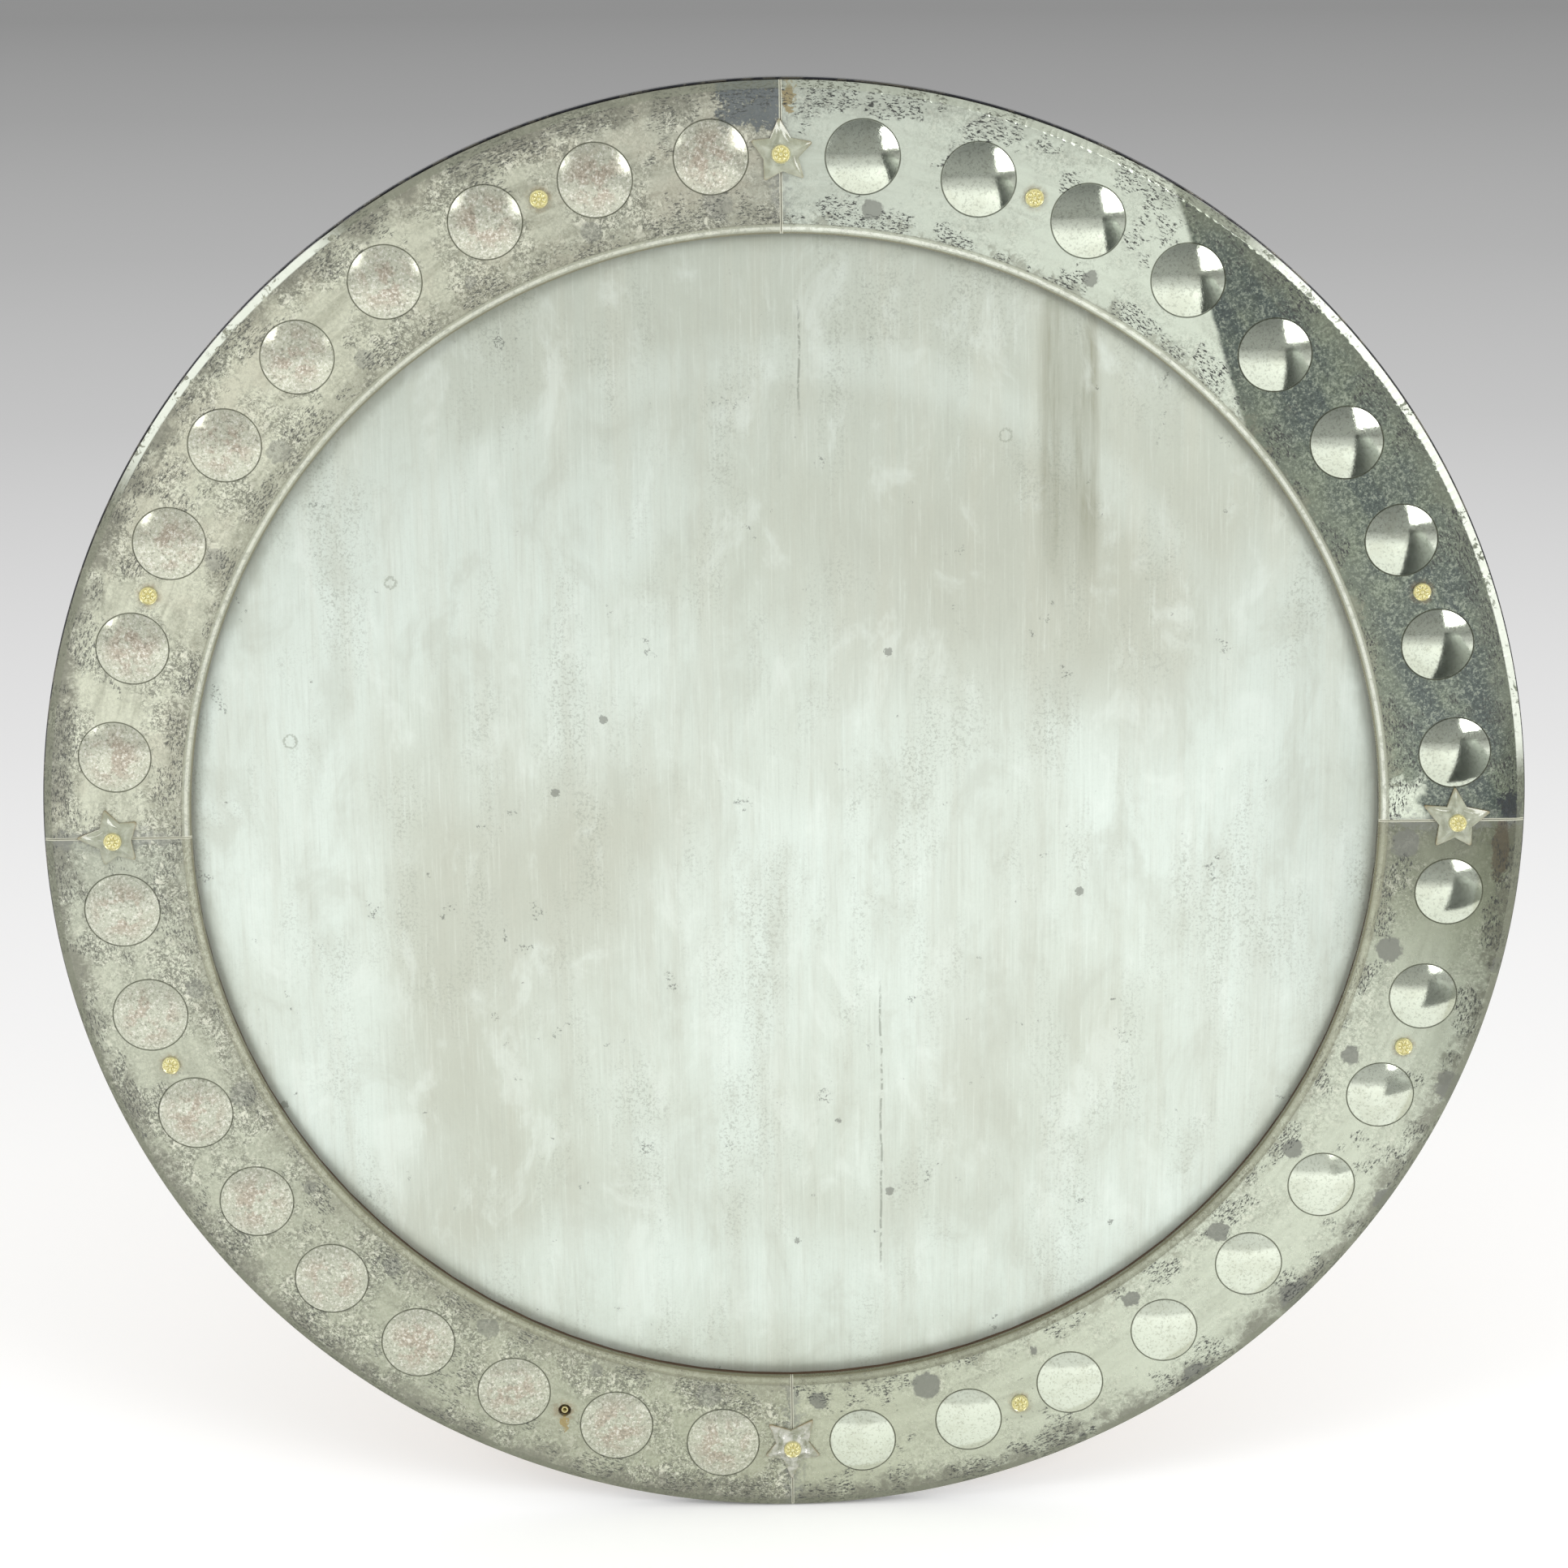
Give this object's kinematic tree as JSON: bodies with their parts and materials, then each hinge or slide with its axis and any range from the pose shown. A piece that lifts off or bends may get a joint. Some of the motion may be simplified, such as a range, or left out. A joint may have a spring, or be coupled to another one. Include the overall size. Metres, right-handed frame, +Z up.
{
  "type": "round bordered wall mirror",
  "caption": "Round wall mirror: a gently domed antiqued plate in a border of antiqued mirror glass with round lenses, glass stars and brass rosette caps, on a wooden ring with hanging rings.",
  "frame": {"origin": "middle of the back board's rear face", "axes": "+Z up, +X to the right of someone facing the mirror, +Y into the wall; the mirror faces -Y"},
  "size_m": [1.05, 0.051, 1.05],
  "materials": {
    "board_wood": "unvarnished plywood, dusty",
    "former_wood": "dark stained softwood",
    "packing_felt": "black felt",
    "rim_metal": "black enamel, semi-gloss",
    "plate_silver": "antiqued mirror glass, softly clouded",
    "pale_silver": "antiqued mirror glass, pale green, black flecks and grey blots",
    "warm_silver": "antiqued mirror glass, warm grey mottle",
    "star_glass": "moulded clear glass, faint pink beige",
    "socket_brass": "dull brass",
    "cap_brass": "stamped bright brass, worn",
    "screw_steel": "zinc plated",
    "hanger_steel": "zinc plated, dull",
    "bumper_rubber": "matt rubber"
  },
  "bodies": {
    "mirror": {"back_board": "board_wood", "ring_former": "former_wood", "packing_ring": "packing_felt", "rim_band": "rim_metal", "plate_mirror": "plate_silver", "glass_top_right": "pale_silver", "glass_bottom_right": "pale_silver", "glass_bottom_left": "warm_silver", "glass_top_left": "warm_silver", "star_top": "star_glass", "star_right": "star_glass", "star_bottom": "star_glass", "star_left": "star_glass", "socket_top_right_1": "socket_brass", "socket_top_right_2": "socket_brass", "socket_bottom_right_1": "socket_brass", "socket_bottom_right_2": "socket_brass", "socket_bottom_left_1": "socket_brass", "socket_bottom_left_2": "socket_brass", "socket_top_left_1": "socket_brass", "socket_top_left_2": "socket_brass", "socket_star_top": "socket_brass", "socket_star_right": "socket_brass", "socket_star_bottom": "socket_brass", "socket_star_left": "socket_brass", "cap_top_right_1": "cap_brass", "cap_top_right_2": "cap_brass", "cap_bottom_right_1": "cap_brass", "cap_bottom_right_2": "cap_brass", "cap_bottom_left_2": "cap_brass", "cap_top_left_1": "cap_brass", "cap_top_left_2": "cap_brass", "cap_star_top": "cap_brass", "cap_star_right": "cap_brass", "cap_star_bottom": "cap_brass", "cap_star_left": "cap_brass", "board_screw_1": "screw_steel", "board_screw_2": "screw_steel", "board_screw_3": "screw_steel", "board_screw_4": "screw_steel", "board_screw_5": "screw_steel", "board_screw_6": "screw_steel", "board_screw_7": "screw_steel", "board_screw_8": "screw_steel", "bumper_1": "bumper_rubber", "bumper_2": "bumper_rubber", "bumper_3": "bumper_rubber", "bumper_4": "bumper_rubber", "strap_left": "hanger_steel", "strap_right": "hanger_steel", "strap_screw_left_1": "screw_steel", "strap_screw_left_2": "screw_steel", "strap_screw_right_1": "screw_steel", "strap_screw_right_2": "screw_steel"},
    "left_ring": {"hanging_ring_left": "hanger_steel"},
    "right_ring": {"hanging_ring_right": "hanger_steel"}
  },
  "joints": [
    {"name": "left_ring_swing", "type": "hinge", "parent": "mirror", "child": "left_ring", "pos_m": [-0.4, 0.0049, 0.275], "axis": [1, 0, 0], "range_deg": [0, 180]},
    {"name": "right_ring_swing", "type": "hinge", "parent": "mirror", "child": "right_ring", "pos_m": [0.4, 0.0049, 0.275], "axis": [1, 0, 0], "range_deg": [0, 180]}
  ]
}
